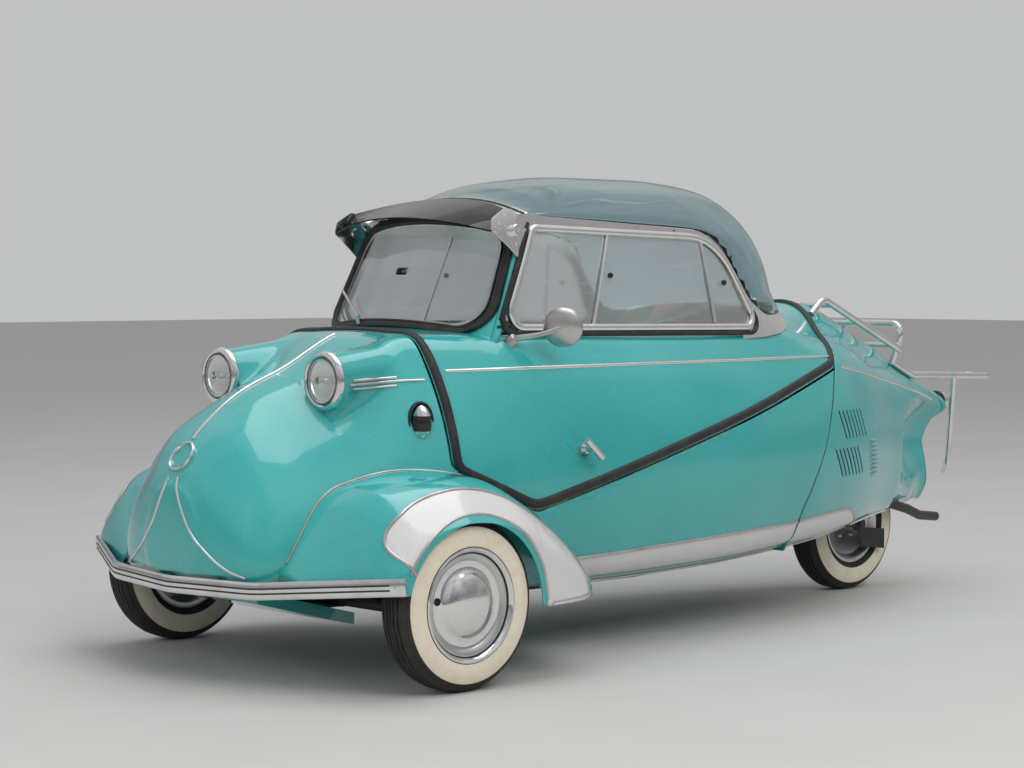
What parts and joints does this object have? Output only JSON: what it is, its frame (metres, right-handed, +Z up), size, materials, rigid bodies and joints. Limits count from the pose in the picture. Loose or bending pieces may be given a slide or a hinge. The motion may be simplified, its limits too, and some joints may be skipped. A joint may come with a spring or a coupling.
{
  "type": "three-wheeled tandem bubble car",
  "caption": "Small three-wheeled tandem cabin car with a lifting canopy and dome, a tilting tail with luggage rack, steering and free-turning wheels.",
  "frame": {"origin": "on the ground, below the middle of the car's overall box", "axes": "+X forward, +Y to the car's left, +Z up"},
  "size_m": [3.1437, 1.2176, 1.196],
  "materials": {
    "paint_body": "gloss turquoise with white panels",
    "chrome_trim": "polished",
    "steel_black": "satin black",
    "engine_alloy": "cast",
    "alloy_frame": "satin",
    "glass_clear": "clear",
    "dome_smoke": "light tint",
    "visor_smoke": "smoke tint",
    "rubber_seal": "matt",
    "lamp_amber": "chrome ends with a lens band",
    "lamp_red": "chrome rim with a lens",
    "seat_vinyl": "satin",
    "tyre_rubber": "matt with a cream sidewall",
    "wheel_silver": "silver"
  },
  "bodies": {
    "root": {"nose_shell": "paint_body", "tub_shell": "paint_body", "fender_left": "paint_body", "fender_right": "paint_body", "front_bumper": "chrome_trim", "front_axle": "steel_black", "chassis_frame": "steel_black", "undertray": "paint_body", "swing_arm": "steel_black", "engine_block": "engine_alloy", "column_bracket": "steel_black", "exhaust": "steel_black", "dashboard": "paint_body", "headlamp_rims": "chrome_trim", "headlamp_lenses": "glass_clear", "side_lamps": "lamp_amber", "front_cushion": "seat_vinyl", "front_backrest": "seat_vinyl", "rear_cushion": "seat_vinyl", "rear_backrest": "seat_vinyl", "seat_frame": "steel_black", "bench_box": "paint_body", "bulkhead": "paint_body"},
    "canopy": {"canopy_shell": "paint_body", "windscreen": "glass_clear", "windscreen_gasket": "rubber_seal", "dome": "dome_smoke", "window_frames": "alloy_frame", "side_windows": "glass_clear", "dome_flange": "alloy_frame", "header": "alloy_frame", "sun_visor": "visor_smoke", "visor_brackets": "alloy_frame", "canopy_seal": "rubber_seal", "mirror": "chrome_trim", "wiper": "chrome_trim", "door_handle": "chrome_trim"},
    "tail": {"tail_shell": "paint_body", "luggage_rack": "chrome_trim", "tail_lamp": "lamp_red"},
    "steering": {"handlebar": "steel_black"},
    "steer_knuckle_left": {"knuckle_left": "steel_black"},
    "steer_knuckle_right": {"knuckle_right": "steel_black"},
    "steer_rod_left": {"tie_rod_left": "steel_black"},
    "steer_rod_right": {"tie_rod_right": "steel_black"},
    "wheel_front_left": {"tyre_front_left": "tyre_rubber", "rim_front_left": "wheel_silver", "hubcap_left": "chrome_trim"},
    "wheel_front_right": {"tyre_front_right": "tyre_rubber", "rim_front_right": "wheel_silver", "hubcap_right": "chrome_trim"},
    "wheel_rear": {"tyre_rear": "tyre_rubber", "rim_rear": "wheel_silver"}
  },
  "joints": [
    {"name": "canopy_hinge", "type": "hinge", "parent": "root", "child": "canopy", "pos_m": [0.3555, -0.424, 0.69], "axis": [1, 0, 0], "range_deg": [0, 80]},
    {"name": "tail_hinge", "type": "hinge", "parent": "root", "child": "tail", "pos_m": [-0.6165, 0, 0.856], "axis": [0, 1, 0], "range_deg": [0, 60]},
    {"name": "steer_left", "type": "hinge", "parent": "root", "child": "steer_knuckle_left", "pos_m": [1.1555, 0.48, 0.198], "axis": [0, 0, 1], "range_deg": [-27, 27]},
    {"name": "steer_right", "type": "hinge", "parent": "root", "child": "steer_knuckle_right", "pos_m": [1.1555, -0.48, 0.198], "axis": [0, 0, 1], "range_deg": [-27, 27]},
    {"name": "steering_column", "type": "hinge", "parent": "root", "child": "steering", "pos_m": [1.12116, 0, 0.23473], "axis": [-0.7859, 0, 0.6184], "range_deg": [-27, 27]},
    {"name": "rod_left_pin", "type": "hinge", "parent": "steer_knuckle_left", "child": "steer_rod_left", "pos_m": [1.0655, 0.48, 0.138], "axis": [0, 0, 1], "range_deg": [-27, 27]},
    {"name": "rod_right_pin", "type": "hinge", "parent": "steer_knuckle_right", "child": "steer_rod_right", "pos_m": [1.0655, -0.48, 0.138], "axis": [0, 0, 1], "range_deg": [-27, 27]},
    {"name": "spin_front_left", "type": "hinge", "parent": "steer_knuckle_left", "child": "wheel_front_left", "pos_m": [1.1555, 0.54, 0.198], "axis": [0, 1, 0], "continuous": true},
    {"name": "spin_front_right", "type": "hinge", "parent": "steer_knuckle_right", "child": "wheel_front_right", "pos_m": [1.1555, -0.54, 0.198], "axis": [0, 1, 0], "continuous": true},
    {"name": "spin_rear", "type": "hinge", "parent": "root", "child": "wheel_rear", "pos_m": [-0.8745, 0, 0.198], "axis": [0, 1, 0], "continuous": true}
  ],
  "couplings": [
    {"joint": "steer_right", "follows": "steer_left", "ratio": 1},
    {"joint": "steering_column", "follows": "steer_left", "ratio": 1},
    {"joint": "rod_left_pin", "follows": "steer_left", "ratio": -1},
    {"joint": "rod_right_pin", "follows": "steer_left", "ratio": -1}
  ]
}
